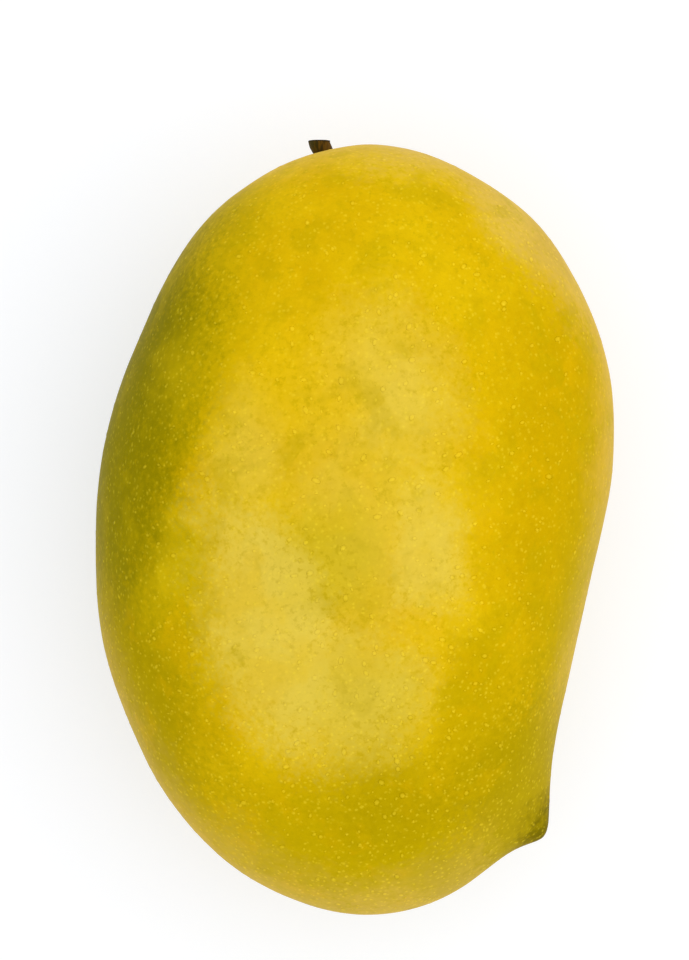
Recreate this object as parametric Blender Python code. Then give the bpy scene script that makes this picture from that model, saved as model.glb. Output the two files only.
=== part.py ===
# A ripe mango lying on its broad face, with the cut stub of its stem.
# Metres, +Z up. The stem end points to +Y, the beak to -Y and +X, and the fruit rests on a
# small flat spot at z = 0.

import math

import bmesh
import bpy
import numpy as np
from mathutils import Matrix, Vector

MM = 0.001

# The fruit, seen on its broad face: points round its edge in millimetres from the middle,
# anticlockwise from the right side. The beak is left off here and drawn out afterwards.
OUTLINE_MM = (
    (40.0, 1.0),
    (41.6, 12.3),
    (41.1, 25.5),
    (37.0, 37.9),
    (30.1, 48.7),
    (19.9, 56.8),
    (7.0, 62.0),
    (-6.6, 61.2),
    (-18.6, 55.0),
    (-27.4, 46.0),
    (-33.8, 34.2),
    (-38.3, 22.9),
    (-41.3, 10.4),
    (-42.2, -3.0),
    (-41.3, -16.6),
    (-37.5, -29.5),
    (-31.2, -42.5),
    (-21.1, -53.8),
    (-7.5, -61.0),
    (7.0, -62.2),
    (20.0, -55.9),
    (28.4, -45.1),
    (32.8, -31.8),
    (36.6, -15.0),
)
THICKNESS = 71 * MM
HALF_LENGTH = 62.5 * MM
HALF_WIDTH = 42.15 * MM

# How the fruit swells away from its edge. A roundness of 2 gives an ellipse in section, and more
# gives fuller cheeks.
ROUNDNESS = 2.1
ROUNDER_AT_STEM = 0.14
THICKER_AT_STEM = 0.07
THICKER_AT_BACK = 0.04
CROWN_START = 0.25
CROWN_END = 0.95

# The beak: the skin drawn out to a blunt point beside the lower end. Its fall-off is a cone at a
# power of 1 and a round hump at 2.
BEAK_ANGLE = math.radians(-57.6)
BEAK_PULL = Vector((2.5 * MM, -4.7 * MM, 0))
BEAK_SPREAD = 5.6 * MM
BEAK_POWER = 1.6

# The stem basin: a shallow dimple round the foot of the stem.
STEM_ANGLE = math.radians(94.7)
BASIN_DEPTH = 0.5 * MM
BASIN_SPREAD = 4.5 * MM
BASIN_POWER = 2.0

# The stem: a short cut stalk that leans to the left and widens to its cut end.
STEM_GAP = 0.3 * MM
STEM_FOOT_RADIUS = 1.0 * MM
STEM_CUT_RADIUS = 1.45 * MM
STEM_LEAN = math.radians(30)
STEM_CUT_ABOVE_TOP = 0.72 * MM
STEM_FLARE = 1.5
STEM_SIDES = 20
STEM_RINGS = 5

# The rest spot: how far the weight of the fruit has flattened its lower face.
REST_DEPTH = 0.6 * MM

# The mesh: quads along each edge of the cube that the skin is drawn from, points on each span of
# the outline, and how much finer the quads are at the beak and at the basin.
SKIN_QUADS = 26
OUTLINE_STEPS = 24
FINER_AT_BEAK = 0.62
FINER_AT_STEM = 0.5
FINE_ANGLE = math.radians(16)
TINY = 1e-9

# Edges bent by more than this stay sharp in the shading: the rims of the stem's two ends.
SHARP_ANGLE = math.radians(40)

SKIN_COLOR = (0.66, 0.48, 0.03, 1.0)
SKIN_ROUGHNESS = 0.42
STEM_COLOR = (0.13, 0.075, 0.02, 1.0)
STEM_ROUGHNESS = 0.8


def clear_scene():
    """Removes every object, so that only the mango is left."""
    for obj in list(bpy.data.objects):
        bpy.data.objects.remove(obj, do_unlink=True)


def make_material(name, color, roughness):
    """A plain Principled material."""
    material = bpy.data.materials.new(name)
    material.use_nodes = True
    shader = material.node_tree.nodes["Principled BSDF"]
    shader.inputs["Base Color"].default_value = color
    shader.inputs["Roughness"].default_value = roughness
    shader.inputs["Metallic"].default_value = 0.0
    material.diffuse_color = color
    return material


def make_object(name, mesh_data, material):
    """Turns the bmesh into a smooth shaded object with its material."""
    mesh = bpy.data.meshes.new(name)
    mesh_data.to_mesh(mesh)
    mesh_data.free()
    mesh.materials.append(material)
    mesh.shade_smooth()
    mesh.set_sharp_from_angle(angle=SHARP_ANGLE)
    obj = bpy.data.objects.new(name, mesh)
    bpy.context.scene.collection.objects.link(obj)
    return obj


def smooth_loop(points, steps):
    """A closed cubic B-spline through every point, with this many steps between two of them."""
    points = np.array(points)
    each = np.eye(len(points))
    share = (4 * each + np.roll(each, 1, axis=0) + np.roll(each, -1, axis=0)) / 6
    control = np.linalg.solve(share, points)
    t = np.linspace(0, 1, steps, endpoint=False)
    weights = (
        (1 - t) ** 3,
        3 * t**3 - 6 * t**2 + 4,
        -3 * t**3 + 3 * t**2 + 3 * t + 1,
        t**3,
    )
    spans = sum(
        weight[None, :, None] / 6 * np.roll(control, 1 - i, axis=0)[:, None, :]
        for i, weight in enumerate(weights)
    )
    return spans.reshape(-1, 2)


def edge_radius(angle):
    """How far the edge of the fruit is from its middle in this direction, seen from above."""
    loop = smooth_loop(OUTLINE_MM, OUTLINE_STEPS) * MM
    angles = np.arctan2(loop[:, 1], loop[:, 0])
    radii = np.hypot(loop[:, 0], loop[:, 1])
    return np.interp(angle, angles, radii, period=2 * math.pi)


def oval_radius(angle):
    """The same for a plain oval of the fruit's length and width."""
    return 1 / np.hypot(np.cos(angle) / HALF_WIDTH, np.sin(angle) / HALF_LENGTH)


def smooth_step(low, high, value):
    """0 below low, 1 above high, and a smooth rise between."""
    t = np.clip((value - low) / (high - low), 0, 1)
    return t * t * (3 - 2 * t)


def swell(directions):
    """Points on the rounded body in these directions from its middle."""
    flat = np.hypot(directions[:, 0], directions[:, 1])
    up = directions[:, 2]
    angle = np.arctan2(directions[:, 1], directions[:, 0])
    # The edge's own shape gives way to a plain oval on the crown of each cheek.
    crown = smooth_step(CROWN_START, CROWN_END, np.abs(up))
    radius = edge_radius(angle) * (1 - crown) + oval_radius(angle) * crown
    power = ROUNDNESS + ROUNDER_AT_STEM * directions[:, 1]
    reach = (flat / radius) ** power + (np.abs(up) / (THICKNESS / 2)) ** power
    points = directions * reach[:, None] ** (-1 / power[:, None])
    points[:, 2] *= 1 + THICKER_AT_STEM * points[:, 1] / HALF_LENGTH
    points[:, 2] *= 1 - THICKER_AT_BACK * points[:, 0] / HALF_WIDTH
    return points


def edge_direction(angle):
    """The level direction at this angle."""
    return np.array((math.cos(angle), math.sin(angle), 0.0))


def near(points, center, spread, power):
    """1 at the center, falling off over the spread."""
    distance = np.linalg.norm(points - center, axis=1)
    return np.exp(-((distance / spread) ** power))[:, None]


def skin_points(directions):
    """Points on the skin in these directions, with the beak drawn out and the basin pressed in."""
    points = swell(directions)
    beak_root = swell(edge_direction(BEAK_ANGLE)[None])
    stem_root = swell(edge_direction(STEM_ANGLE)[None])
    pull = np.array(BEAK_PULL) * near(points, beak_root, BEAK_SPREAD, BEAK_POWER)
    dimple = near(points, stem_root, BASIN_SPREAD, BASIN_POWER)
    press = edge_direction(STEM_ANGLE) * BASIN_DEPTH * dimple
    return points + pull - press


def gather(directions, center, share):
    """Turns the directions towards the center, so that the quads are finer there."""
    cosine = np.clip(directions @ center, -1, 1)
    angle = np.arccos(cosine)
    turned = angle * (1 - share * np.exp(-((angle / FINE_ANGLE) ** 2)))
    side = directions - cosine[:, None] * center
    side /= np.maximum(np.linalg.norm(side, axis=1), TINY)[:, None]
    return np.cos(turned)[:, None] * center + np.sin(turned)[:, None] * side


def make_fruit(material):
    """The whole fruit: a cube's grid of quads thrown out to the skin."""
    grid = bmesh.new()
    bmesh.ops.create_cube(grid, size=2)
    bmesh.ops.subdivide_edges(grid, edges=grid.edges[:], cuts=SKIN_QUADS - 1, use_grid_fill=True)
    corners = np.array([vert.co[:] for vert in grid.verts])
    directions = np.tan(corners * math.pi / 4)
    directions /= np.linalg.norm(directions, axis=1)[:, None]
    directions = gather(directions, edge_direction(BEAK_ANGLE), FINER_AT_BEAK)
    directions = gather(directions, edge_direction(STEM_ANGLE), FINER_AT_STEM)
    points = skin_points(directions)
    rest_height = points[:, 2].min() + REST_DEPTH
    points[:, 2] = np.maximum(points[:, 2], rest_height)
    for vert, point in zip(grid.verts, points):
        vert.co = Vector(point)
    return make_object("fruit", grid, material)


def make_stem(material, top):
    """The stalk: rings from its foot in the basin to a cut that is square to +Y."""
    root = Vector(skin_points(edge_direction(STEM_ANGLE)[None])[0])
    lean = Vector((-math.sin(STEM_LEAN), math.cos(STEM_LEAN), 0))
    foot = root + lean * STEM_GAP
    length = (top + STEM_CUT_ABOVE_TOP - foot.y) / lean.y
    # Every ring is square to +Y, so it is stretched sideways by the lean.
    square = Matrix.Rotation(-math.pi / 2, 4, "X") @ Matrix.Diagonal((1 / lean.y, 1, 1, 1))
    stalk = bmesh.new()
    rings = []
    for i in range(STEM_RINGS + 1):
        share = i / STEM_RINGS
        radius = STEM_FOOT_RADIUS + (STEM_CUT_RADIUS - STEM_FOOT_RADIUS) * share**STEM_FLARE
        place = Matrix.Translation(foot + lean * length * share) @ square
        ring = bmesh.ops.create_circle(stalk, segments=STEM_SIDES, radius=radius, matrix=place)
        rings.append({edge for vert in ring["verts"] for edge in vert.link_edges})
    for lower, upper in zip(rings, rings[1:]):
        bmesh.ops.bridge_loops(stalk, edges=list(lower | upper))
    for ring in (rings[0], rings[-1]):
        bmesh.ops.contextual_create(stalk, geom=list(ring))
    bmesh.ops.recalc_face_normals(stalk, faces=stalk.faces[:])
    return make_object("stem", stalk, material)


def stand_on_origin(objects):
    """Moves the mango so that the middle of its box's lower face is at the origin."""
    corners = np.array([vert.co[:] for obj in objects for vert in obj.data.vertices])
    low = corners.min(axis=0)
    high = corners.max(axis=0)
    for obj in objects:
        obj.location = (-(low[0] + high[0]) / 2, -(low[1] + high[1]) / 2, -low[2])


def main():
    clear_scene()
    fruit = make_fruit(make_material("skin", SKIN_COLOR, SKIN_ROUGHNESS))
    top = max(vert.co.y for vert in fruit.data.vertices)
    stem = make_stem(make_material("stalk", STEM_COLOR, STEM_ROUGHNESS), top)
    stand_on_origin([fruit, stem])


main()
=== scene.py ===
import math

import bmesh
import bpy
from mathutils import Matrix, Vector


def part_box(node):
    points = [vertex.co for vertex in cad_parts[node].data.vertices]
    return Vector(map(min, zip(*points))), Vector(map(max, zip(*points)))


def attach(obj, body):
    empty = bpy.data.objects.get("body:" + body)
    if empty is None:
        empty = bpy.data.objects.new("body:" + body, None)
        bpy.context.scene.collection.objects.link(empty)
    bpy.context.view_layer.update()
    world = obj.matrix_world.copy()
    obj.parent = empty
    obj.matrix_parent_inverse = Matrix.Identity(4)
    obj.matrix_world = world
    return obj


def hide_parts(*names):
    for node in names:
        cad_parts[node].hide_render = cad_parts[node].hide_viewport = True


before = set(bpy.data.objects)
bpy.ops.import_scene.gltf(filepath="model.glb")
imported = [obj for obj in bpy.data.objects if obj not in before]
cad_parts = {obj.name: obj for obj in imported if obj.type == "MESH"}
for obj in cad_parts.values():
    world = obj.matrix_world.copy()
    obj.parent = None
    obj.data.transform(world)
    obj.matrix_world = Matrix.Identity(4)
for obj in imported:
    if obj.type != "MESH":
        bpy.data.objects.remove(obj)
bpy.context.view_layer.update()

mm = 0.001
fruitLow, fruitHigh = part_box("fruit")
fruitMiddle = (fruitLow + fruitHigh) / 2
fruitHalf = (fruitHigh - fruitLow) / 2
stemLow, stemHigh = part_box("stem")
stemMiddle = (stemLow + stemHigh) / 2
print("frame loaded")


def onFruit(across, along, up):  # a place in shares of the fruit's half sizes, from its middle
    return fruitMiddle + Vector((across * fruitHalf.x, along * fruitHalf.y, up * fruitHalf.z))


# A socket that takes part in sums: each operator adds its Math node.
class Wire:
    def __init__(self, sheet, socket):
        self.sheet = sheet
        self.socket = socket

    def work(self, operation, *values):
        return self.sheet.add("ShaderNodeMath", {"operation": operation}, dict(enumerate(values)))

    def __add__(self, other):
        return self.work("ADD", self, other)

    def __sub__(self, other):
        return self.work("SUBTRACT", self, other)

    def __rsub__(self, other):
        return self.work("SUBTRACT", other, self)

    def __mul__(self, other):
        return self.work("MULTIPLY", self, other)

    def __rtruediv__(self, other):
        return self.work("DIVIDE", other, self)

    def __gt__(self, other):
        return self.work("GREATER_THAN", self, other)

    def larger(self, other):
        return self.work("MAXIMUM", self, other)

    __radd__ = __add__
    __rmul__ = __mul__


# A node tree, of a material or of geometry, that nodes are added to.
class Sheet:
    def __init__(self, tree):
        self.tree = tree
        tree.nodes.clear()

    def feed(self, socket, value):
        if isinstance(value, Wire):
            self.tree.links.new(value.socket, socket)
        else:
            socket.default_value = value

    def add(self, kind, settings=None, sockets=None, output=0):
        node = self.tree.nodes.new(kind)
        for name, value in (settings or {}).items():
            setattr(node, name, value)
        for name, value in (sockets or {}).items():
            self.feed(node.inputs[name], value)
        if isinstance(output, list):
            return [Wire(self, node.outputs[name]) for name in output]
        return Wire(self, node.outputs[output]) if node.outputs else None

    def axis(self, place, letter):
        return self.add("ShaderNodeSeparateXYZ", None, {0: place}, letter)

    def combine(self, **axes):
        return self.add("ShaderNodeCombineXYZ", None, axes)

    def vector(self, operation, *values):
        sockets = dict(enumerate(values))
        return self.add("ShaderNodeVectorMath", {"operation": operation}, sockets)

    def scale(self, vector, factor):
        return self.add("ShaderNodeVectorMath", {"operation": "SCALE"}, {0: vector, "Scale": factor})

    def length(self, vector):
        return self.add("ShaderNodeVectorMath", {"operation": "LENGTH"}, {0: vector}, "Value")

    def blendColor(self, share, under, over):
        return self.add("ShaderNodeMix", {"data_type": "RGBA"}, {0: share, 6: under, 7: over}, 2)

    def noise(self, place, size, detail=2.0, seed=0.0, roughness=0.5, output=0):
        return self.add(
            "ShaderNodeTexNoise",
            {"noise_dimensions": "4D"},
            {"Vector": place, "W": seed, "Scale": 1 / size, "Detail": detail, "Roughness": roughness},
            output,
        )

    def ease(self, value, start, end, least=0.0):  # least at start, 1 at end, smooth between
        return self.add(
            "ShaderNodeMapRange",
            {"interpolation_type": "SMOOTHSTEP"},
            {0: value, 1: start, 2: end, 3: least, 4: 1.0},
        )

    def clouds(self, place, pattern):  # soft-edged patches, 0 to 1
        noise = self.noise(place, pattern["size"], pattern["detail"], pattern["seed"])
        return self.ease(noise, *pattern["edge"])

    def bump(self, height, distance, strength=1.0):
        return self.add(
            "ShaderNodeBump",
            None,
            {"Height": height, "Strength": strength, "Distance": distance},
        )


def newMaterial(name):
    material = bpy.data.materials.new(name)
    material.use_nodes = True
    return material, Sheet(material.node_tree)


def finishMaterial(sheet, shader):
    sheet.add("ShaderNodeOutputMaterial", None, {"Surface": shader})


def objectPlace(sheet):
    return sheet.add("ShaderNodeTexCoord", output="Object")


def socketKind(value):
    if isinstance(value, int):
        return "Int"
    return "Float" if isinstance(value, float) else "Vector"


def newGeometryTree(name, sizes):
    # a tree with one named input for each size
    tree = bpy.data.node_groups.new(name, "GeometryNodeTree")
    sheet = Sheet(tree)
    inputs = {"Geometry": "Geometry"}
    inputs.update({label: socketKind(value) for label, value in sizes.items()})
    inputs["Material"] = "Material"
    for label, kind in inputs.items():
        tree.interface.new_socket(label, in_out="INPUT", socket_type="NodeSocket" + kind)
    tree.interface.new_socket("Geometry", in_out="OUTPUT", socket_type="NodeSocketGeometry")
    wires = dict(zip(inputs, sheet.add("NodeGroupInput", output=list(inputs))))
    return tree, sheet, wires


def endTree(sheet, geometry, material):
    shaded = sheet.add("GeometryNodeSetShadeSmooth", None, {0: geometry})
    realized = sheet.add("GeometryNodeRealizeInstances", None, {0: shaded})
    painted = sheet.add("GeometryNodeSetMaterial", None, {"Geometry": realized, "Material": material})
    sheet.add("NodeGroupOutput", None, {0: painted})


def growPiece(name, mesh, tree, values):
    # runs the tree on the mesh and keeps the result as a plain mesh
    seedObject = bpy.data.objects.new(name + "Seed", mesh)
    bpy.context.scene.collection.objects.link(seedObject)
    modifier = seedObject.modifiers.new("grow", "NODES")
    modifier.node_group = tree
    for item in tree.interface.items_tree:
        if item.in_out == "INPUT" and item.name in values:
            modifier[item.identifier] = values[item.name]
    graph = bpy.context.evaluated_depsgraph_get()
    grown = bpy.data.meshes.new_from_object(seedObject.evaluated_get(graph), depsgraph=graph)
    bpy.data.objects.remove(seedObject, do_unlink=True)
    piece = bpy.data.objects.new(name, grown)
    grown.name = name
    bpy.context.scene.collection.objects.link(piece)
    print(name, len(grown.polygons), "faces")
    return piece


def paint(red, green, blue):  # a screen colour, 0 to 255, as the linear colour that shaders take
    shares = [value / 255 for value in (red, green, blue)]
    linear = [share / 12.92 if share < 0.04045 else ((share + 0.055) / 1.055) ** 2.4 for share in shares]
    return (*linear, 1.0)


# Patches are painted one over another. Middle and reach are shares of the fruit's half sizes, turn is
# in degrees round the upright, core is the share of the reach that is solid, and edge is where a
# cloudy pattern starts and ends.
skinSettings = {
    "shape": {
        "Fineness": 2,
        "Swell Size": 26 * mm,
        "Swell Height": 0.5 * mm,
        "Ripple Size": 5 * mm,
        "Ripple Height": 0.06 * mm,
        "Seed": 3.0,
        "Rest Height": fruitLow.z,
        "Rest Blend": 4 * mm,
        "Stem Place": Vector((stemMiddle.x, stemLow.y, stemMiddle.z)),
        "Crease Reach": 9 * mm,
        "Crease Depth": 0.35 * mm,
        "Creases": 2.2,
        "Basin Depth": 0.35 * mm,
    },
    "gold": paint(226, 188, 8),
    "broadWarp": {"size": 13 * mm, "reach": 5 * mm, "seed": 1.3},
    "raggedWarp": {"size": 2.2 * mm, "reach": 2.4 * mm, "seed": 4.1},
    "deepGold": {"size": 11 * mm, "detail": 3, "seed": 7.7, "edge": (0.35, 0.65),
                 "strength": 0.5, "color": paint(214, 172, 2)},
    "warmSpots": {"size": 6 * mm, "detail": 3, "seed": 17.1, "edge": (0.52, 0.7),
                  "strength": 0.3, "color": paint(226, 178, 2)},
    "blotches": {"size": 6 * mm, "detail": 3, "seed": 12.4, "edge": (0.5, 0.68),
                 "strength": 0.34, "color": paint(186, 162, 2)},
    "speckle": {"size": 1.0 * mm, "detail": 3, "seed": 6.3, "roughness": 0.65},
    "raggedness": 0.7,
    # painted reflection: the pale rim and belt stand in for the bright floor and walls reflected where the
    # skin turns away
    "rimReflection": {"strength": 0.85, "color": paint(222, 186, 88)},
    "reflectionBelt": {  # heights are shares of the fruit's half height
        "inner": 0.56,
        "outer": 0.1,
        "raggedness": 0.3,
        "strength": 0.68,
        "fadeBelow": 1.9,  # how much faster it fades on the way down
        "waver": 4.0,
        "waverSize": 17 * mm,
        "waverSeed": 30.0,
    },
    # the skin's pale wax bloom together with a painted sheen, the soft reflection of the light on the top
    "bloomAndSheen": {"strength": 0.85, "color": paint(230, 204, 72), "cloudiness": 0.4},
    "bloomAndSheenClouds": {"size": 7 * mm, "detail": 3, "seed": 2.9, "edge": (0.3, 0.6)},
    "specks": {"strength": 0.58, "color": paint(184, 160, 4), "edge": (0.5, 0.68), "least": 0.22,
               "cloudShare": 0.6},
    "speckCrowds": {"size": 7 * mm, "detail": 2, "seed": 21.0, "edge": (0.42, 0.62)},
    "mottle": {"size": 1.4 * mm, "seed": 5.5, "depth": 0.1, "lostInBloomAndSheen": 0.6},
    "grain": {"size": 0.45 * mm, "seed": 8.8, "depth": 0.045},
    "flecks": {
        "color": paint(236, 212, 52),
        "colorShare": 0.5,
        "brighter": 1.35,
        "cell": 0.95 * mm,
        "radius": 0.36 * mm,
        "solid": 0.06,  # in cells
        "warp": {"size": 0.9 * mm, "reach": 0.35 * mm, "seed": 15.0},
        "strength": 0.54,
        "lowStrength": 0.1,
        "lowEnd": -0.6,
        "least": 0.4,
        "lostInBloomAndSheen": 0.4,
    },
    "fleckCrowds": {"size": 3 * mm, "detail": 2, "seed": 6.6, "edge": (0.35, 0.6)},
    "roughness": 0.40,
    "bloomAndSheenRoughness": 0.12,
    "bumpSize": 0.8 * mm,
    "bumpHeight": 0.012 * mm,
    "bumpSeed": 9.1,
    "shine": 0.004,
    "shineTint": (1.0, 0.82, 0.25, 1.0),
    "gloss": 0.3,
    "glossRoughness": 0.36,
    "groundPatches": {
        "underside": {
            "middle": (-0.1, 0.0, -1.1), "reach": (1.1, 1.1, 0.9), "turn": 10,
            "core": 0.2, "strength": 0.55, "color": paint(188, 165, 6),
        },
        "lowFlank": {
            "middle": (-0.87, -0.36, 0.0), "reach": (0.49, 0.74, 3.0), "turn": 20,
            "core": 0.3, "strength": 0.95, "color": paint(176, 153, 0),
        },
        "lowFlankGold": {
            "middle": (-0.7, -0.1, 0.6), "reach": (0.18, 0.22, 1.0), "turn": 0,
            "core": 0.1, "strength": 0.75, "color": paint(216, 186, 6),
        },
        "lowOlive": {
            "middle": (0.05, -0.9, 0.4), "reach": (0.95, 0.46, 3.0), "turn": -6,
            "core": 0.35, "strength": 0.9, "color": paint(190, 164, 0),
        },
        "lowOliveCore": {
            "middle": (0.17, -0.65, 0.6), "reach": (0.46, 0.25, 2.0), "turn": -6,
            "core": 0.1, "strength": 0.6, "color": paint(172, 148, 0),
        },
        "sideGold": {
            "middle": (0.8, 0.1, 0.5), "reach": (0.46, 0.85, 3.0), "turn": 0,
            "core": 0.3, "strength": 0.9, "color": paint(202, 164, 0),
        },
        "bellyGreen": {
            "middle": (0.88, -0.26, 0.3), "reach": (0.34, 0.56, 3.0), "turn": -9,
            "core": 0.2, "strength": 0.8, "color": paint(186, 160, 0),
        },
        "neckGreen": {
            "middle": (0.58, -0.6, 0.4), "reach": (0.34, 0.3, 2.0), "turn": -20,
            "core": 0.2, "strength": 0.85, "color": paint(170, 147, 0),
        },
        "neckOlive": {
            "middle": (0.45, -0.38, 0.8), "reach": (0.2, 0.3, 2.0), "turn": -10,
            "core": 0.2, "strength": 0.85, "color": paint(194, 163, 0),
        },
    },
    # painted reflection: pale patches on the rim where the skin catches the bright surroundings
    "rimReflectionPatches": {
        "rimReflectionTopRight": {
            "middle": (0.7, 0.74, 0.1), "reach": (0.25, 0.56, 0.9), "turn": 41,
            "core": 0.2, "strength": 0.88,
        },
        "rimReflectionTop": {
            "middle": (0.25, 1.02, 0.0), "reach": (0.55, 0.23, 0.9), "turn": -8,
            "core": 0.2, "strength": 0.95,
        },
    },
    "greenPatches": {  # painted over the painted rim reflection
        "flankOlive": {
            "middle": (-0.8, 0.4, 0.0), "reach": (0.46, 0.78, 3.0), "turn": -20,
            "core": 0.25, "strength": 0.8, "color": paint(176, 156, 0),
        },
        "shoulderOlive": {
            "middle": (-0.52, 0.84, 0.0), "reach": (0.3, 0.2, 3.0), "turn": -30,
            "core": 0.2, "strength": 0.5, "color": paint(180, 158, 0),
        },
        "flankGreen": {
            "middle": (-0.88, 0.38, 0.0), "reach": (0.38, 0.64, 3.0), "turn": -20,
            "core": 0.25, "strength": 0.95, "color": paint(132, 122, 0),
        },
        "flankGreenLow": {
            "middle": (-0.86, 0.07, 0.0), "reach": (0.41, 0.47, 3.0), "turn": -6,
            "core": 0.2, "strength": 0.9, "color": paint(142, 130, 0),
        },
        "flankGap": {
            "middle": (-0.64, -0.05, 0.3), "reach": (0.14, 0.17, 1.0), "turn": 0,
            "core": 0.1, "strength": 0.7, "color": paint(222, 192, 16),
        },
        "flankGapHigh": {
            "middle": (-0.66, 0.38, 0.3), "reach": (0.14, 0.2, 1.0), "turn": 0,
            "core": 0.1, "strength": 0.5, "color": paint(212, 184, 12),
        },
        # painted reflection: a paler edge where the lower flank turns down
        "flankEdgeReflection": {
            "middle": (-1.0, -0.24, 0.0), "reach": (0.1, 0.2, 0.5), "turn": 0,
            "core": 0.2, "strength": 0.4, "color": paint(190, 168, 30),
        },
        # painted reflection: a tan, duller part of the rim reflection on the shoulder
        "shoulderRimReflection": {
            "middle": (0.76, 0.74, 0.1), "reach": (0.17, 0.2, 0.9), "turn": 0,
            "core": 0.2, "strength": 0.5, "color": paint(204, 168, 62),
        },
        # painted reflection: a paler edge where the lower end turns down
        "lowEdgeReflection": {
            "middle": (0.36, -0.87, 0.2), "reach": (0.2, 0.13, 0.9), "turn": 0,
            "core": 0.2, "strength": 0.45, "color": paint(178, 155, 36),
        },
        "beakOlive": {
            "middle": (0.68, -0.68, 0.0), "reach": (0.4, 0.44, 0.9), "turn": 16,
            "core": 0.45, "strength": 0.95, "color": paint(176, 152, 0),
        },
        "beakGreen": {
            "middle": (0.75, -0.77, 0.0), "reach": (0.2, 0.15, 0.5), "turn": 30,
            "core": 0.25, "strength": 0.95, "color": paint(116, 102, 0),
        },
        "stemGreen": {
            "middle": (-0.12, 1.0, 0.0), "reach": (0.15, 0.12, 0.16), "turn": 0,
            "core": 0.1, "strength": 0.6, "color": paint(172, 148, 6),
        },
        "stemRing": {
            "middle": (-0.12, 0.985, 0.0), "reach": (0.11, 0.075, 0.12), "turn": 0,
            "core": 0.35, "strength": 0.7, "color": paint(126, 106, 10),
        },
    },
    # where the pale wax bloom and the painted sheen lie
    "bloomAndSheenPatches": {
        "bloomAndSheenLeft": {
            "middle": (-0.31, -0.24, 1.0), "reach": (0.32, 0.46, 0.9), "turn": 19,
            "core": 0.42, "strength": 1.0,
        },
        "bloomAndSheenRight": {
            "middle": (0.24, -0.03, 1.0), "reach": (0.23, 0.24, 0.8), "turn": 0,
            "core": 0.3, "strength": 0.8,
        },
        "bloomAndSheenTop": {
            "middle": (0.15, 0.34, 1.0), "reach": (0.34, 0.34, 0.9), "turn": 12,
            "core": 0.1, "strength": 0.7,
        },
        "bloomAndSheenLow": {
            "middle": (-0.05, -0.39, 1.0), "reach": (0.42, 0.27, 0.9), "turn": 0,
            "core": 0.3, "strength": 0.75,
        },
        "bloomAndSheenCentre": {
            "middle": (0.02, 0.02, 1.0), "reach": (0.5, 0.56, 0.9), "turn": 0,
            "core": 0.1, "strength": 0.42,
        },
        "bloomAndSheenShoulder": {
            "middle": (-0.4, 0.2, 0.9), "reach": (0.2, 0.26, 0.8), "turn": 0,
            "core": 0.1, "strength": 0.5,
        },
    },
    "overPatches": {  # painted over the bloom and painted sheen
        "flankShade": {
            "middle": (-0.75, 0.14, 0.7), "reach": (0.18, 0.23, 0.9), "turn": 0,
            "core": 0.1, "strength": 0.5, "color": paint(148, 133, 0),
        },
        "cheekOlive": {
            "middle": (-0.12, -0.06, 1.0), "reach": (0.27, 0.2, 0.8), "turn": 20,
            "core": 0.1, "strength": 0.65, "color": paint(204, 180, 20),
        },
        "browGold": {
            "middle": (-0.2, 0.37, 1.0), "reach": (0.36, 0.26, 0.8), "turn": 0,
            "core": 0.1, "strength": 0.55, "color": paint(236, 196, 16),
        },
        "bloomAndSheenGreen": {
            "middle": (0.05, -0.42, 1.0), "reach": (0.36, 0.24, 0.8), "turn": 0,
            "core": 0.1, "strength": 0.5, "color": paint(206, 182, 40),
        },
    },
    "speckPatches": {  # where small specks crowd together
        "cheekSpecks": {
            "middle": (-0.15, -0.12, 1.0), "reach": (0.36, 0.36, 0.9), "turn": 20,
            "core": 0.2, "strength": 1.0,
        },
        "lowSpecks": {
            "middle": (0.14, -0.52, 0.8), "reach": (0.6, 0.4, 1.0), "turn": 0,
            "core": 0.2, "strength": 0.8,
        },
        "browSpecks": {
            "middle": (-0.1, 0.3, 0.9), "reach": (0.5, 0.34, 1.0), "turn": 0,
            "core": 0.1, "strength": 0.6,
        },
    },
}


def patchMask(sheet, place, jitter, patch):
    near = sheet.add(
        "ShaderNodeMapping",
        {"vector_type": "TEXTURE"},
        {
            "Vector": place,
            "Location": onFruit(*patch["middle"]),
            "Rotation": (0, 0, math.radians(patch["turn"])),
            "Scale": [share * half for share, half in zip(patch["reach"], fruitHalf)],
        },
    )
    return sheet.ease(sheet.length(near) + jitter, 1.0, patch["core"]) * patch["strength"]


def patchesMask(sheet, place, jitter, patches):
    masks = [patchMask(sheet, place, jitter, patch) for patch in patches.values()]
    together = masks[0]
    for mask in masks[1:]:
        together = together.larger(mask)
    return together


def paintPatches(sheet, color, place, jitter, patches):
    for patch in patches.values():
        color = sheet.blendColor(patchMask(sheet, place, jitter, patch), color, patch["color"])
    return color


def paintClouds(sheet, color, place, pattern):
    return sheet.blendColor(sheet.clouds(place, pattern) * pattern["strength"], color, pattern["color"])


def shiftedPlace(sheet, place, warp):
    pattern = sheet.noise(place, warp["size"], seed=warp["seed"], output=1)
    centred = sheet.vector("SUBTRACT", pattern, (0.5, 0.5, 0.5))
    return sheet.vector("ADD", place, sheet.scale(centred, 2 * warp["reach"]))


def rimReflectionMask(sheet, place, ragged, jitter):
    # painted reflection of the bright surroundings: a pale belt where the skin turns down, with a wavering
    # lower edge, and pale patches on the rim
    reflectionBelt = skinSettings["reflectionBelt"]
    waver = sheet.noise(place, reflectionBelt["waverSize"], seed=reflectionBelt["waverSeed"]) - 0.5
    height = sheet.axis(ragged, "Z") - fruitMiddle.z
    below = height * (-reflectionBelt["fadeBelow"] - reflectionBelt["waver"] * waver)
    level = height.larger(below) * (1 / fruitHalf.z) + jitter * reflectionBelt["raggedness"]
    mask = sheet.ease(level, reflectionBelt["inner"], reflectionBelt["outer"]) * reflectionBelt["strength"]
    return mask.larger(patchesMask(sheet, ragged, jitter, skinSettings["rimReflectionPatches"]))


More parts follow.
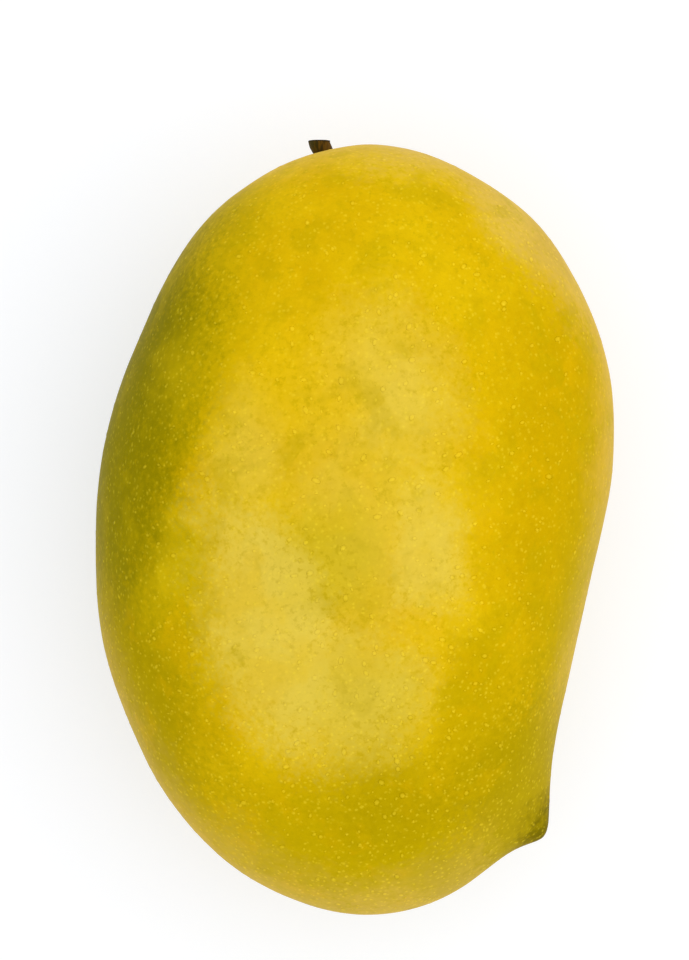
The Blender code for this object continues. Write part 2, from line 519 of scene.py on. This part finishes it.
def bloomAndSheenMask(sheet, ragged, jitter):
    # the wax bloom with a painted sheen, the soft reflection of the light, broken up by clouds
    depth = skinSettings["bloomAndSheen"]["cloudiness"]
    clouds = sheet.clouds(ragged, skinSettings["bloomAndSheenClouds"])
    return patchesMask(sheet, ragged, jitter, skinSettings["bloomAndSheenPatches"]) * (1 - depth + depth * clouds)


def speckMask(sheet, broad, ragged, jitter, speckle):
    # small olive specks, in crowds
    specks = skinSettings["specks"]
    clouds = sheet.clouds(ragged, skinSettings["speckCrowds"])
    patches = patchesMask(sheet, broad, jitter, skinSettings["speckPatches"])
    crowds = patches.larger(clouds * specks["cloudShare"])
    crowds = specks["least"] + (1 - specks["least"]) * crowds
    return sheet.ease(speckle, *specks["edge"]) * crowds * specks["strength"]


def centredNoise(sheet, place, pattern):  # -0.5 to 0.5
    return sheet.noise(place, pattern["size"], seed=pattern["seed"]) - 0.5


def textured(sheet, color, place, bloomAndSheen):
    # fine changes of brightness
    mottle = skinSettings["mottle"]
    grain = skinSettings["grain"]
    plain = 1 - mottle["lostInBloomAndSheen"] * bloomAndSheen
    factor = 1.0 + centredNoise(sheet, place, mottle) * plain * (2 * mottle["depth"])
    return sheet.scale(color, factor + centredNoise(sheet, place, grain) * (2 * grain["depth"]))


def paintFlecks(sheet, color, place, bloomAndSheen):
    # small pale flecks, which stay greener on the green skin
    flecks = skinSettings["flecks"]
    distance = sheet.add(
        "ShaderNodeTexVoronoi",
        {"feature": "F1", "voronoi_dimensions": "3D"},
        {"Vector": shiftedPlace(sheet, place, flecks["warp"]), "Scale": 1 / flecks["cell"]},
    )
    mask = sheet.ease(distance, flecks["radius"] / flecks["cell"], flecks["solid"])
    lowEnd = sheet.ease(sheet.axis(place, "Y"), fruitMiddle.y, onFruit(0, flecks["lowEnd"], 0).y)
    present = flecks["least"] + (1 - flecks["least"]) * sheet.clouds(place, skinSettings["fleckCrowds"])
    strength = (flecks["strength"] + flecks["lowStrength"] * lowEnd) * present
    brighter = sheet.scale(color, flecks["brighter"])
    fleckColor = sheet.blendColor(flecks["colorShare"], brighter, flecks["color"])
    share = mask * strength * (1 - flecks["lostInBloomAndSheen"] * bloomAndSheen)
    return sheet.blendColor(share, color, fleckColor)


def paintSkin(sheet):
    # the colour of the skin at a place, and how much wax bloom and painted sheen lies there
    look = skinSettings
    place = objectPlace(sheet)
    broad = shiftedPlace(sheet, place, look["broadWarp"])
    ragged = shiftedPlace(sheet, broad, look["raggedWarp"])
    speckle = sheet.noise(place, **look["speckle"])
    jitter = (speckle - 0.5) * look["raggedness"]
    color = paintClouds(sheet, look["gold"], place, look["deepGold"])
    color = paintPatches(sheet, color, ragged, jitter, look["groundPatches"])
    color = paintClouds(sheet, color, ragged, look["warmSpots"])
    # painted reflection: a pale rim where the skin turns down
    rimReflection = rimReflectionMask(sheet, place, ragged, jitter)
    color = sheet.blendColor(rimReflection * look["rimReflection"]["strength"], color, look["rimReflection"]["color"])
    color = paintPatches(sheet, color, ragged, jitter, look["greenPatches"])
    # pale wax bloom and a painted sheen, the soft reflection of the light
    bloomAndSheen = bloomAndSheenMask(sheet, ragged, jitter)
    color = sheet.blendColor(bloomAndSheen * look["bloomAndSheen"]["strength"], color, look["bloomAndSheen"]["color"])
    color = paintPatches(sheet, color, ragged, jitter, look["overPatches"])
    color = paintClouds(sheet, color, ragged, look["blotches"])
    specks = speckMask(sheet, broad, ragged, jitter, speckle)
    color = sheet.blendColor(specks, color, look["specks"]["color"])
    color = textured(sheet, color, place, bloomAndSheen)
    color = paintFlecks(sheet, color, place, bloomAndSheen)
    return place, color, bloomAndSheen


def skinShader(sheet, color, bloomAndSheen, place):
    look = skinSettings
    bumps = sheet.noise(place, look["bumpSize"], seed=look["bumpSeed"])
    return sheet.add(
        "ShaderNodeBsdfPrincipled",
        None,
        {
            "Base Color": color,
            "Roughness": look["roughness"] + look["bloomAndSheenRoughness"] * bloomAndSheen,
            "Specular IOR Level": look["shine"],
            "Specular Tint": look["shineTint"],
            "Coat Weight": bloomAndSheen * look["gloss"],
            "Coat Roughness": look["glossRoughness"],
            "Normal": sheet.bump(bumps, look["bumpHeight"]),
        },
    )


def skinMaterial():
    material, sheet = newMaterial("mangoSkin")
    place, color, bloomAndSheen = paintSkin(sheet)
    finishMaterial(sheet, skinShader(sheet, color, bloomAndSheen, place))
    print("skin painted")
    return material


def skinCage():
    # the CAD fruit as clean quads, ready to be smoothed
    nearlySame = 0.001 * mm
    widest = math.radians(60)
    cage = bmesh.new()
    cage.from_mesh(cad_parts["fruit"].data)
    bmesh.ops.remove_doubles(cage, verts=cage.verts[:], dist=nearlySame)
    bmesh.ops.join_triangles(
        cage,
        faces=cage.faces[:],
        angle_face_threshold=widest,
        angle_shape_threshold=widest,
    )
    mesh = bpy.data.meshes.new("skinCage")
    cage.to_mesh(mesh)
    cage.free()
    print("skin cage", len(mesh.polygons), "faces")
    return mesh


def skinTree():
    tree, sheet, wires = newGeometryTree("mangoSkinShape", skinSettings["shape"])
    smooth = sheet.add(
        "GeometryNodeSubdivisionSurface",
        None,
        {"Mesh": wires["Geometry"], "Level": wires["Fineness"]},
    )
    place = sheet.add("GeometryNodeInputPosition")
    normal = sheet.add("GeometryNodeInputNormal")

    def wave(where, size, height):
        return (sheet.noise(where, size, 1.0, wires["Seed"]) - 0.5) * 2 * height

    height = wave(place, wires["Swell Size"], wires["Swell Height"])
    height = height + wave(place, wires["Ripple Size"], wires["Ripple Height"])
    raised = sheet.axis(place, "Z") - wires["Rest Height"]
    height = height * sheet.ease(raised, 0.0, wires["Rest Blend"])  # the rest spot stays flat
    # creases that run out from the stem, in a shallow basin
    away = sheet.vector("SUBTRACT", place, wires["Stem Place"])
    spoke = sheet.scale(sheet.vector("NORMALIZE", away), wires["Creases"])
    nearStem = sheet.ease(sheet.length(away), wires["Crease Reach"], 0.0)
    folds = wave(spoke, 1.0, wires["Crease Depth"])
    height = height + (folds - wires["Basin Depth"]) * nearStem
    shift = sheet.scale(normal, height)
    moved = sheet.add("GeometryNodeSetPosition", None, {"Geometry": smooth, "Offset": shift})
    endTree(sheet, moved, wires["Material"])
    return tree


skin = growPiece(
    "mangoSkin",
    skinCage(),
    skinTree(),
    {**skinSettings["shape"], "Material": skinMaterial()},
)
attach(skin, "root")
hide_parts("fruit")


lenticelSettings = {
    "shape": {
        "Least Gap": 1.0 * mm,
        "Per Square Metre": 200000.0,
        "Upper Share": 0.42,
        "Lower End": onFruit(0, -0.3, 0).y,
        "Upper End": onFruit(0, 0.1, 0).y,
        "Crowd Size": 9 * mm,
        "Crowd Seed": 3.3,
        "Crowd Start": 0.3,
        "Crowd End": 0.62,
        "Least Crowd": 0.45,
        "Least Radius": 0.28 * mm,
        "Most Radius": 0.56 * mm,
        "Least Width": 0.7,
        "Most Length": 1.5,
        "Most Spin": 0.6,
        "Height Share": 0.07,
        "Sink Share": 0.5,
        "Rest Clearance": 1.2 * mm,
        "Rest Height": fruitLow.z,
        "Segments": 6,
        "Rings": 6,
        "Seed": 11,
    },
    "pale": paint(236, 210, 52),
    "strength": 0.52,
    "paleShare": 0.55,
    "brighter": 1.5,
    "edge": (0.55, 1.0),  # shares of the height of a dot, where its colour starts and is full
    "lostInBloomAndSheen": 0.5,
}


def chance(sheet, low, high, seed):
    sockets = {2: low, 3: high, "Seed": seed}
    return sheet.add("FunctionNodeRandomValue", {"data_type": "FLOAT"}, sockets, 1)


def scatterPoints(sheet, wires, place):
    # fewer towards the stem, in loose crowds, and none on the rest spot
    lower = sheet.ease(sheet.axis(place, "Y"), wires["Upper End"], wires["Lower End"], wires["Upper Share"])
    clear = sheet.axis(place, "Z") - wires["Rest Height"] > wires["Rest Clearance"]
    clouds = sheet.noise(place, wires["Crowd Size"], seed=wires["Crowd Seed"])
    crowd = sheet.ease(clouds, wires["Crowd Start"], wires["Crowd End"])
    share = lower * clear * (wires["Least Crowd"] + (1 - wires["Least Crowd"]) * crowd)
    return sheet.add(
        "GeometryNodeDistributePointsOnFaces",
        {"distribute_method": "POISSON"},
        {
            "Mesh": wires["Geometry"],
            "Distance Min": wires["Least Gap"],
            "Density Max": wires["Per Square Metre"],
            "Density Factor": share,
            "Seed": wires["Seed"],
        },
        ["Points", "Rotation"],
    )


def lenticelTree():
    tree, sheet, wires = newGeometryTree("lenticelScatter", lenticelSettings["shape"])
    place = sheet.add("GeometryNodeInputPosition")
    points, rotation = scatterPoints(sheet, wires, place)
    dome = sheet.add(
        "GeometryNodeMeshUVSphere",
        None,
        {"Segments": wires["Segments"], "Rings": wires["Rings"], "Radius": 1.0},
    )
    marked = sheet.add(
        "GeometryNodeStoreNamedAttribute",
        {"data_type": "FLOAT", "domain": "POINT"},
        {"Geometry": dome, "Name": "paleness", "Value": sheet.axis(place, "Z").larger(0.0)},
    )
    size = chance(sheet, 0.0, 1.0, 1)
    radius = wires["Least Radius"] + (wires["Most Radius"] - wires["Least Radius"]) * size * size
    height = radius * wires["Height Share"]
    scale = sheet.combine(
        X=radius * chance(sheet, wires["Least Width"], 1.0, 2),
        Y=radius * chance(sheet, 1.0, wires["Most Length"], 3),
        Z=height,
    )
    spin = chance(sheet, -1 * wires["Most Spin"], wires["Most Spin"], 4)
    turned = sheet.add(
        "FunctionNodeRotateRotation",
        {"rotation_space": "LOCAL"},
        {"Rotation": rotation, "Rotate By": sheet.combine(Z=spin)},
    )
    dots = sheet.add(
        "GeometryNodeInstanceOnPoints",
        None,
        {"Points": points, "Instance": marked, "Rotation": turned, "Scale": scale},
    )
    sunk = sheet.combine(Z=height * wires["Sink Share"] * -1)
    settled = sheet.add(
        "GeometryNodeTranslateInstances",
        None,
        {"Instances": dots, "Translation": sunk, "Local Space": True},
    )
    endTree(sheet, settled, wires["Material"])
    return tree


def lenticelMaterial():
    look = lenticelSettings
    material, sheet = newMaterial("lenticels")
    place, color, bloomAndSheen = paintSkin(sheet)
    paleness = sheet.add("ShaderNodeAttribute", {"attribute_name": "paleness"}, output="Fac")
    share = sheet.ease(paleness, *look["edge"]) * (1 - look["lostInBloomAndSheen"] * bloomAndSheen) * look["strength"]
    # on the green skin a lenticel stays greener
    pale = sheet.blendColor(look["paleShare"], sheet.scale(color, look["brighter"]), look["pale"])
    blended = sheet.blendColor(share, color, pale)
    finishMaterial(sheet, skinShader(sheet, blended, bloomAndSheen, place))
    print("lenticels painted")
    return material


lenticels = growPiece(
    "lenticels",
    skin.data.copy(),
    lenticelTree(),
    {**lenticelSettings["shape"], "Material": lenticelMaterial()},
)
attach(lenticels, "root")


stemSettings = {
    "shape": {
        "Cut Middle": Vector((stemMiddle.x, stemHigh.y, stemMiddle.z)),
        "Foot Shift": Vector((0.95 * mm, -2.3 * mm, 0.0)),
        "Foot Handle": -0.4,  # in shares of the foot's shift
        "Cut Handle": Vector((0.0, -0.8 * mm, 0.0)),
        "Foot Radius": 1.1 * mm,
        "Cut Radius": (stemHigh.x - stemLow.x) / 2 - 0.12 * mm,
        "Collar": 0.35 * mm,
        "Collar Share": 0.42,
        "Sides": 36,
        "Rings": 24,
        "Ridge Size": 0.55 * mm,
        "Ridge Height": 0.16 * mm,
        "Ridge Stretch": Vector((1.0, 0.25, 1.0)),
        "Pith Share": 0.55,
        "Pith Depth": 0.12 * mm,
        "Cut Facing": 0.9,  # the cut is where the faces look this much along the stem
    },
    "bark": paint(50, 37, 0),
    "paleBark": paint(100, 68, 2),
    "streaks": {"size": 0.35 * mm, "detail": 3, "seed": 1.0},
    "streakStretch": (1.0, 0.2, 1.0),
    "streakHeight": 0.08 * mm,
    "streakStrength": 0.6,
    "streakEdge": (0.35, 0.65),
    "shadedSide": paint(74, 68, 4),
    "shadedWidth": 1.2 * mm,
    "shadedStrength": 0.6,
    "cutEdge": paint(26, 16, 4),
    "cutEdgeWidth": 0.35 * mm,
    "cutEdgeStrength": 0.85,
    "pith": paint(134, 104, 50),
    "pithEdge": (0.8, 0.5),  # in shares of the cut's radius
    "pithRaggedness": 0.4,
    "roughness": 0.6,
    "streakRoughness": 0.2,
    "shine": 0.12,
}


def stemBody(sheet, wires):
    # a bent stalk with a collar at its foot, wider at its cut
    foot = sheet.vector("ADD", wires["Cut Middle"], wires["Foot Shift"])
    bend = sheet.scale(wires["Foot Shift"], wires["Foot Handle"])
    path = sheet.add(
        "GeometryNodeCurvePrimitiveBezierSegment",
        {"mode": "POSITION"},
        {
            "Resolution": wires["Rings"],
            "Start": foot,
            "Start Handle": sheet.vector("ADD", foot, bend),
            "End Handle": sheet.vector("ADD", wires["Cut Middle"], wires["Cut Handle"]),
            "End": wires["Cut Middle"],
        },
    )
    along = sheet.add("GeometryNodeSplineParameter")
    swollen = wires["Collar"] * sheet.ease(along, wires["Collar Share"], 0.0)
    radius = wires["Foot Radius"] + (wires["Cut Radius"] - wires["Foot Radius"]) * along * along + swollen
    ring = sheet.add(
        "GeometryNodeCurvePrimitiveCircle",
        None,
        {"Resolution": wires["Sides"], "Radius": 1.0},
    )
    return sheet.add(
        "GeometryNodeCurveToMesh",
        None,
        {"Curve": path, "Profile Curve": ring, "Scale": radius, "Fill Caps": True},
    )


def ridged(sheet, wires, body, normal):
    place = sheet.add("GeometryNodeInputPosition")
    ridges = sheet.add(
        "ShaderNodeTexNoise",
        {"noise_dimensions": "3D"},
        {
            "Vector": sheet.vector("MULTIPLY", place, wires["Ridge Stretch"]),
            "Scale": 1 / wires["Ridge Size"],
            "Detail": 2.0,
        },
    )
    flatPart = sheet.vector("MULTIPLY", normal, (1.0, 0.0, 1.0))
    shift = sheet.scale(flatPart, (ridges - 0.5) * 2 * wires["Ridge Height"])
    return sheet.add("GeometryNodeSetPosition", None, {"Geometry": body, "Offset": shift})


def withPith(sheet, wires, stalk, normal):
    # the cut end: an inner ring sunk a little for the pith
    facing = sheet.axis(normal, "Y")
    stalk, top = sheet.add(
        "GeometryNodeExtrudeMesh",
        {"mode": "FACES"},
        {"Mesh": stalk, "Selection": facing > wires["Cut Facing"], "Offset Scale": 0.0},
        ["Mesh", "Top"],
    )
    shrunk = sheet.add(
        "GeometryNodeScaleElements",
        {"domain": "FACE"},
        {"Geometry": stalk, "Selection": top, "Scale": wires["Pith Share"]},
    )
    down = sheet.combine(Y=wires["Pith Depth"] * -1)
    return sheet.add(
        "GeometryNodeSetPosition",
        None,
        {"Geometry": shrunk, "Selection": top, "Offset": down},
    )


def stemTree():
    tree, sheet, wires = newGeometryTree("stemShape", stemSettings["shape"])
    normal = sheet.add("GeometryNodeInputNormal")
    stalk = ridged(sheet, wires, stemBody(sheet, wires), normal)
    endTree(sheet, withPith(sheet, wires, stalk, normal), wires["Material"])
    return tree


def paintStem(sheet, place, streaks):
    look = stemSettings
    color = sheet.blendColor(sheet.ease(streaks, *look["streakEdge"]), look["bark"], look["paleBark"])
    leftSide = sheet.ease(sheet.axis(place, "X"), stemHigh.x - look["shadedWidth"], stemLow.x)
    color = sheet.blendColor(leftSide * look["shadedStrength"], color, look["shadedSide"])
    nearCut = sheet.ease(sheet.axis(place, "Y"), stemHigh.y - look["cutEdgeWidth"], stemHigh.y)
    color = sheet.blendColor(nearCut * look["cutEdgeStrength"], color, look["cutEdge"])
    # the pith, paler and soft edged
    cutRadius = look["shape"]["Cut Radius"]
    fromAxis = sheet.vector("SUBTRACT", place, look["shape"]["Cut Middle"])
    outward = sheet.length(sheet.vector("MULTIPLY", fromAxis, (1.0, 0.0, 1.0)))
    outward = outward + (streaks - 0.5) * (look["pithRaggedness"] * cutRadius)
    pith = sheet.ease(outward, *[share * cutRadius for share in look["pithEdge"]])
    return sheet.blendColor(pith * nearCut, color, look["pith"])


def stemMaterial():
    look = stemSettings
    material, sheet = newMaterial("stemBark")
    place = objectPlace(sheet)
    stretched = sheet.vector("MULTIPLY", place, look["streakStretch"])
    streaks = sheet.noise(stretched, **look["streaks"])
    shader = sheet.add(
        "ShaderNodeBsdfPrincipled",
        None,
        {
            "Base Color": paintStem(sheet, place, streaks),
            "Roughness": look["roughness"] + look["streakRoughness"] * streaks,
            "Specular IOR Level": look["shine"],
            "Normal": sheet.bump(streaks, look["streakHeight"], look["streakStrength"]),
        },
    )
    finishMaterial(sheet, shader)
    print("stem painted")
    return material


stem = growPiece(
    "mangoStem",
    bpy.data.meshes.new("stemSeed"),
    stemTree(),
    {**stemSettings["shape"], "Material": stemMaterial()},
)
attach(stem, "root")
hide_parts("stem")


studio = {
    "lens": 120.0,
    "sensor": 36.0,
    "viewLong": 155.808 * mm,  # what the view's longer side spans at the height of the fruit's edge
    "aimAcross": -1.62 * mm,
    "aimAlong": 8.12 * mm,
    "farthest": 20.0,
    "floorSize": 6.0,
    "floorColor": (0.62, 0.62, 0.62, 1),
    "floorGlow": 0.44,
    "floorGlowTint": (0.96, 1.0, 1.08, 1.0),
    "sunFrom": (0.14, 0.03, 1.0),
    "sunAngle": math.radians(100),
    "sunStrength": 2.3,
    "wall": (1.0, 1.0, 1.0, 1),
    "shadedWall": (0.5, 0.5, 0.5, 1),
    "shadedFrom": (0.85, -0.35, 0.0),  # points away from the shaded wall
    "shadedEdge": (-0.2, -0.9),
    "paleBelow": (0.1, 0.22),  # the lowest part of the shaded wall stays pale
    "ceiling": (0.1, 0.1, 0.1, 1),
    "ceilingEdge": (0.15, 0.8),
}


def addToScene(name, data):
    thing = bpy.data.objects.new(name, data)
    bpy.context.scene.collection.objects.link(thing)
    return thing


def makeCamera():
    camera = bpy.data.cameras.new("camera")
    camera.lens = studio["lens"]
    camera.sensor_width = studio["sensor"]
    camera.clip_end = studio["farthest"]
    holder = addToScene("camera", camera)
    distance = studio["lens"] / studio["sensor"] * studio["viewLong"]
    holder.location = fruitMiddle + Vector((studio["aimAcross"], studio["aimAlong"], distance))
    bpy.context.scene.camera = holder


def makeFloor():
    floorMesh = bmesh.new()
    bmesh.ops.create_grid(floorMesh, x_segments=1, y_segments=1, size=studio["floorSize"] / 2)
    mesh = bpy.data.meshes.new("floor")
    floorMesh.to_mesh(mesh)
    floorMesh.free()
    floor = addToScene("floor", mesh)
    material, sheet = newMaterial("floorPaper")
    shader = sheet.add(
        "ShaderNodeBsdfPrincipled",
        None,
        {
            "Base Color": studio["floorColor"],
            "Roughness": 1.0,
            "Specular IOR Level": 0.0,
            "Emission Color": studio["floorGlowTint"],
            "Emission Strength": studio["floorGlow"],
        },
    )
    finishMaterial(sheet, shader)
    mesh.materials.append(material)


def makeSun():
    light = bpy.data.lights.new("softSun", "SUN")
    light.angle = studio["sunAngle"]
    light.energy = studio["sunStrength"]
    sun = addToScene("softSun", light)
    sun.location = studio["sunFrom"]
    sun.rotation_mode = "QUATERNION"
    sun.rotation_quaternion = Vector(studio["sunFrom"]).to_track_quat("Z", "Y")


def makeWorld():
    world = bpy.data.worlds.new("studio")
    bpy.context.scene.world = world
    world.use_nodes = True
    sheet = Sheet(world.node_tree)
    direction = sheet.add("ShaderNodeTexCoord", output="Generated")
    up = sheet.axis(direction, "Z")
    side = sheet.add(
        "ShaderNodeVectorMath",
        {"operation": "DOT_PRODUCT"},
        {0: direction, 1: studio["shadedFrom"]},
        "Value",
    )
    shaded = sheet.ease(side, *studio["shadedEdge"]) * sheet.ease(up, *studio["paleBelow"])
    wall = sheet.blendColor(shaded, studio["wall"], studio["shadedWall"])
    color = sheet.blendColor(sheet.ease(up, *studio["ceilingEdge"]), wall, studio["ceiling"])
    background = sheet.add("ShaderNodeBackground", None, {"Color": color, "Strength": 1.0})
    sheet.add("ShaderNodeOutputWorld", None, {"Surface": background})


makeCamera()
makeFloor()
makeSun()
makeWorld()
bpy.context.scene.view_settings.view_transform = "Standard"
print("studio set up")
